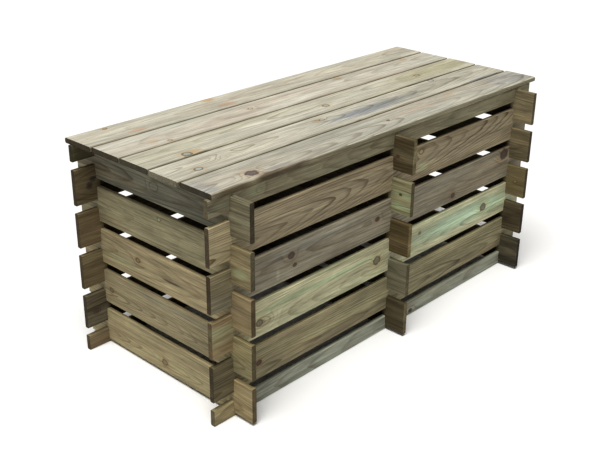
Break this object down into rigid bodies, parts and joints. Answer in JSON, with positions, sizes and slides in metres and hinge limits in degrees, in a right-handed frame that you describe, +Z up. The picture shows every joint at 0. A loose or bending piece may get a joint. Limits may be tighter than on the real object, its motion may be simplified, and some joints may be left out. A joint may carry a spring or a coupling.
{
  "type": "recycling bin station",
  "caption": "Slatted timber bin enclosure of interlocking notched boards, with two open compartments and a loose plank lid that lifts off.",
  "frame": {"origin": "on the ground, at the middle of the overall footprint", "axes": "+Z up, -Y the front, +X the right-hand end seen from the front; the long walls run along X"},
  "size_m": [1.713, 0.828, 0.7728],
  "materials": {
    "wall_timber": "pressure-treated sawn softwood, matt, with clear grain and knots",
    "lid_timber": "pressure-treated planed softwood, matt, paler than the walls",
    "batten_timber": "pressure-treated sawn softwood, matt",
    "screw_steel": "zinc-plated, satin"
  },
  "bodies": {
    "enclosure": {"front_rail_bottom": "wall_timber", "front_board_1": "wall_timber", "front_board_2": "wall_timber", "front_board_3": "wall_timber", "front_board_4": "wall_timber", "front_rail_top": "wall_timber", "back_rail_bottom": "wall_timber", "back_board_1": "wall_timber", "back_board_2": "wall_timber", "back_board_3": "wall_timber", "back_board_4": "wall_timber", "back_rail_top": "wall_timber", "left_wall_board_1": "wall_timber", "left_wall_board_2": "wall_timber", "left_wall_board_3": "wall_timber", "left_wall_board_4": "wall_timber", "left_wall_board_5": "wall_timber", "middle_wall_board_1": "wall_timber", "middle_wall_board_2": "wall_timber", "middle_wall_board_3": "wall_timber", "middle_wall_board_4": "wall_timber", "middle_wall_board_5": "wall_timber", "right_wall_board_1": "wall_timber", "right_wall_board_2": "wall_timber", "right_wall_board_3": "wall_timber", "right_wall_board_4": "wall_timber", "right_wall_board_5": "wall_timber"},
    "lid": {"lid_plank_1": "lid_timber", "lid_plank_2": "lid_timber", "lid_plank_3": "lid_timber", "lid_plank_4": "lid_timber", "lid_plank_5": "lid_timber", "lid_batten_1": "batten_timber", "lid_batten_2": "batten_timber", "lid_batten_3": "batten_timber", "lid_batten_4": "batten_timber", "lid_screw_1_1": "screw_steel", "lid_screw_1_2": "screw_steel", "lid_screw_1_3": "screw_steel", "lid_screw_1_4": "screw_steel", "lid_screw_1_5": "screw_steel", "lid_screw_2_1": "screw_steel", "lid_screw_2_2": "screw_steel", "lid_screw_2_3": "screw_steel", "lid_screw_2_4": "screw_steel", "lid_screw_2_5": "screw_steel", "lid_screw_3_1": "screw_steel", "lid_screw_3_2": "screw_steel", "lid_screw_3_3": "screw_steel", "lid_screw_3_4": "screw_steel", "lid_screw_3_5": "screw_steel", "lid_screw_4_1": "screw_steel", "lid_screw_4_2": "screw_steel", "lid_screw_4_3": "screw_steel", "lid_screw_4_4": "screw_steel", "lid_screw_4_5": "screw_steel"}
  },
  "joints": [
    {"name": "lid_lift", "type": "slide", "parent": "enclosure", "child": "lid", "axis": [0, 0, 1], "range_m": [0, 0.3]}
  ]
}
